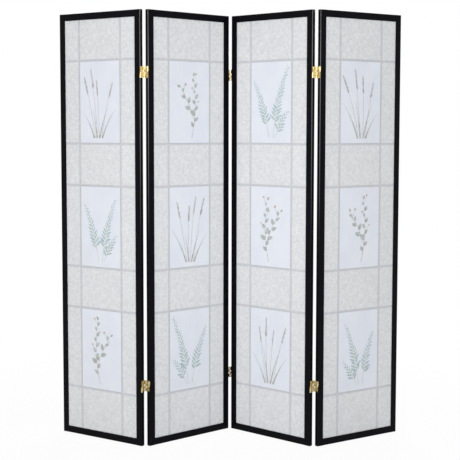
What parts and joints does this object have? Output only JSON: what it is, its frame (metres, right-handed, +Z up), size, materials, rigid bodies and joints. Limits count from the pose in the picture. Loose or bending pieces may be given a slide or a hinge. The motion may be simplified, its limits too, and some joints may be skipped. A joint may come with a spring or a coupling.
{
  "type": "folding room divider",
  "caption": "Folding screen of framed paper panels with pasted botanical prints, a lattice behind the paper and two-way brass hinges between the panels.",
  "frame": {"origin": "on the floor under the middle of the standing, part-folded screen", "axes": "+Z up, front of the screen towards -Y, panel_1 on the left at -X and panel_4 on the right at +X"},
  "size_m": [1.4378, 0.3056, 1.784],
  "materials": {
    "black_lacquer": "satin black lacquer",
    "fibre_paper": "matt laminated fibre paper",
    "print_paper": "matt printed paper",
    "hinge_brass": "bright brass plating"
  },
  "bodies": {
    "panel_1": {"panel_1_left_stile": "black_lacquer", "panel_1_right_stile": "black_lacquer", "panel_1_bottom_rail": "black_lacquer", "panel_1_top_rail": "black_lacquer", "panel_1_paper": "fibre_paper", "panel_1_bottom_print": "print_paper", "panel_1_middle_print": "print_paper", "panel_1_top_print": "print_paper", "panel_1_lattice_uprights": "black_lacquer", "panel_1_lattice_crossbars": "black_lacquer", "panel_1_stop_strips": "black_lacquer", "panel_1_hinge_leaves": "hinge_brass", "panel_1_hinge_links": "hinge_brass"},
    "panel_2": {"panel_2_left_stile": "black_lacquer", "panel_2_right_stile": "black_lacquer", "panel_2_bottom_rail": "black_lacquer", "panel_2_top_rail": "black_lacquer", "panel_2_paper": "fibre_paper", "panel_2_bottom_print": "print_paper", "panel_2_middle_print": "print_paper", "panel_2_top_print": "print_paper", "panel_2_lattice_uprights": "black_lacquer", "panel_2_lattice_crossbars": "black_lacquer", "panel_2_stop_strips": "black_lacquer", "panel_2_hinge_leaves": "hinge_brass", "panel_2_hinge_links": "hinge_brass"},
    "panel_3": {"panel_3_left_stile": "black_lacquer", "panel_3_right_stile": "black_lacquer", "panel_3_bottom_rail": "black_lacquer", "panel_3_top_rail": "black_lacquer", "panel_3_paper": "fibre_paper", "panel_3_bottom_print": "print_paper", "panel_3_middle_print": "print_paper", "panel_3_top_print": "print_paper", "panel_3_lattice_uprights": "black_lacquer", "panel_3_lattice_crossbars": "black_lacquer", "panel_3_stop_strips": "black_lacquer", "panel_3_hinge_leaves": "hinge_brass", "panel_3_hinge_links": "hinge_brass"},
    "panel_4": {"panel_4_left_stile": "black_lacquer", "panel_4_right_stile": "black_lacquer", "panel_4_bottom_rail": "black_lacquer", "panel_4_top_rail": "black_lacquer", "panel_4_paper": "fibre_paper", "panel_4_bottom_print": "print_paper", "panel_4_middle_print": "print_paper", "panel_4_top_print": "print_paper", "panel_4_lattice_uprights": "black_lacquer", "panel_4_lattice_crossbars": "black_lacquer", "panel_4_stop_strips": "black_lacquer", "panel_4_hinge_leaves": "hinge_brass", "panel_4_hinge_links": "hinge_brass"}
  },
  "joints": [
    {"name": "fold_12", "type": "hinge", "parent": "panel_2", "child": "panel_1", "pos_m": [-0.34707, -0.12825, 0.892], "axis": [0, 0, -1], "range_deg": [-72.3, 107.7]},
    {"name": "fold_23", "type": "hinge", "parent": "panel_2", "child": "panel_3", "pos_m": [0, 0.13014, 0.892], "axis": [0, 0, -1], "range_deg": [-79.8, 99.1]},
    {"name": "fold_34", "type": "hinge", "parent": "panel_3", "child": "panel_4", "pos_m": [0.34707, -0.12825, 0.892], "axis": [0, 0, 1], "range_deg": [-72.3, 107.7]}
  ]
}
